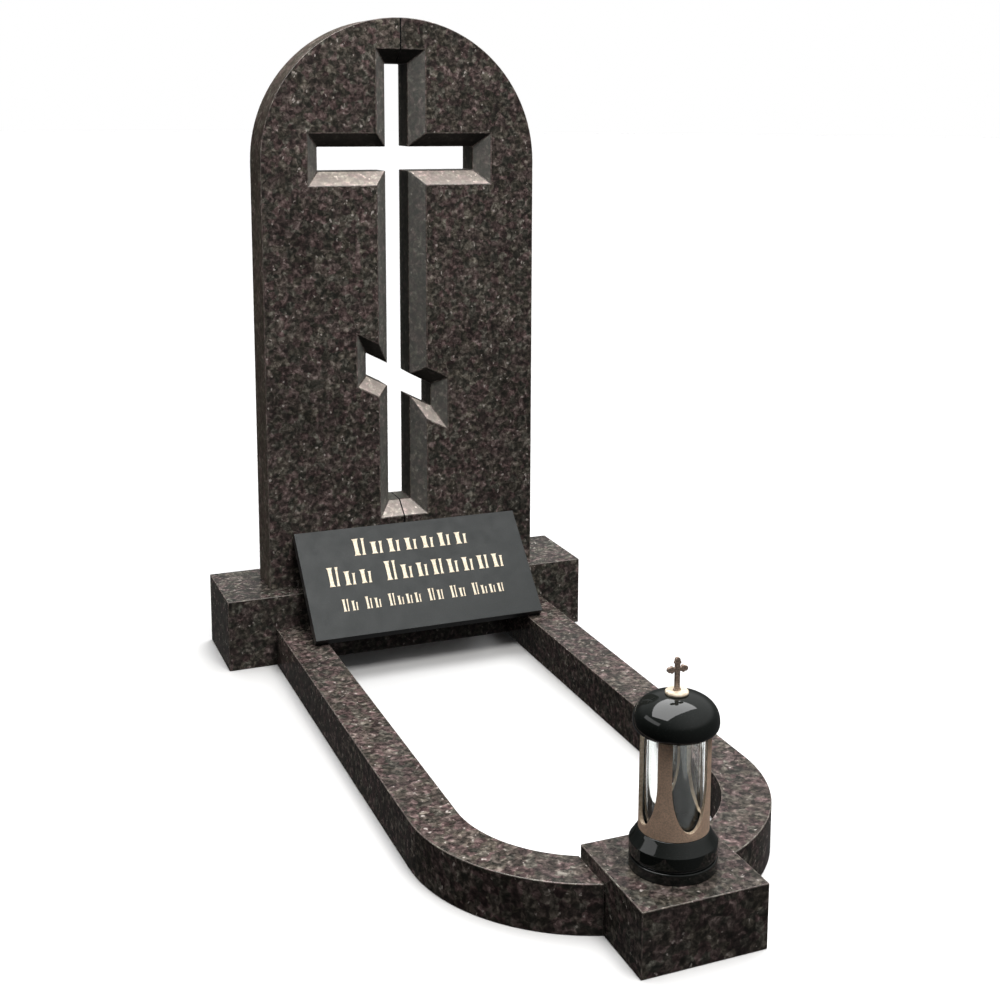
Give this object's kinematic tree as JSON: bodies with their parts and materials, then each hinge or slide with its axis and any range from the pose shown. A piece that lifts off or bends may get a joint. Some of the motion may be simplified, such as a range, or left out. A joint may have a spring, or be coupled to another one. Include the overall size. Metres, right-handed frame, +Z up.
{
  "type": "orthodox cross headstone memorial",
  "caption": "Arched granite headstone pierced by an Orthodox cross, on a plinth with a rounded kerb, sloped name plaque, front block and grave lantern.",
  "frame": {"origin": "centre of the footprint, on the ground", "axes": "+Z up; the front, with the lantern, faces -Y; +X is to the right of someone facing the stele"},
  "size_m": [0.8, 1.5, 1.35],
  "materials": {
    "granite_plinth": "polished dark brown granite with pinkish, grey and black grains",
    "granite_stele": "polished dark brown granite with pinkish, grey and black grains",
    "granite_kerb": "polished dark brown granite with pinkish, grey and black grains",
    "granite_block": "polished dark brown granite with pinkish, grey and black grains",
    "plaque_granite": "polished fine black granite with pale incised rows",
    "lantern_granite": "high-gloss black granite",
    "lantern_bronze": "matt fine-grained bronze-coloured casting with paler cut edges",
    "lantern_clear": "clear glass",
    "finial_onyx": "polished cream onyx",
    "finial_bronze": "dark patinated bronze"
  },
  "bodies": {
    "root": {"plinth": "granite_plinth", "stele_left": "granite_stele", "stele_right": "granite_stele", "kerb_left": "granite_kerb", "kerb_right": "granite_kerb", "front_block": "granite_block", "name_plaque": "plaque_granite", "lantern_base": "lantern_granite", "lantern_body": "lantern_bronze", "lantern_glass": "lantern_clear", "lantern_cap": "lantern_granite", "finial_disc": "finial_onyx", "finial_cross": "finial_bronze"}
  },
  "joints": []
}
